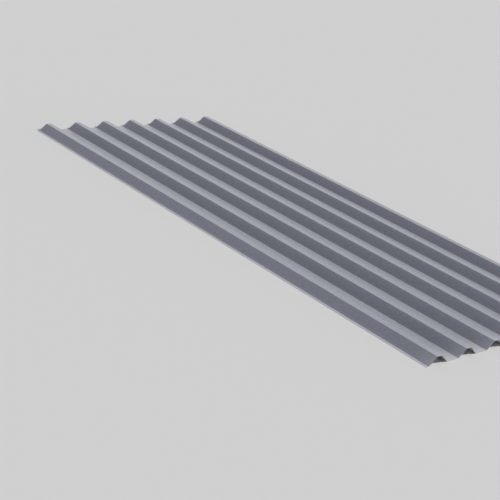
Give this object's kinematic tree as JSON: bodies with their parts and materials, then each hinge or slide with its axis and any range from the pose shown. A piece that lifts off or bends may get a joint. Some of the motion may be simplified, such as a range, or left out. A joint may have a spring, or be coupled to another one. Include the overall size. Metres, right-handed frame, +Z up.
{
  "type": "corrugated roofing sheet",
  "caption": "Cold-rolled steel roofing sheet with straight flat-topped ribs, a lip and a leg along its lap edges, and a satin grey coating.",
  "frame": {"origin": "under the middle of the sheet, on the plane of the undersides of its valleys", "axes": "+Y along the ribs, +X across them towards the edge that goes under the next sheet, +Z up"},
  "size_m": [1.0866, 2.5, 0.033],
  "materials": {
    "coated_steel": "satin grey coil coating"
  },
  "bodies": {
    "root": {"corrugated_sheet": "coated_steel"}
  },
  "joints": []
}
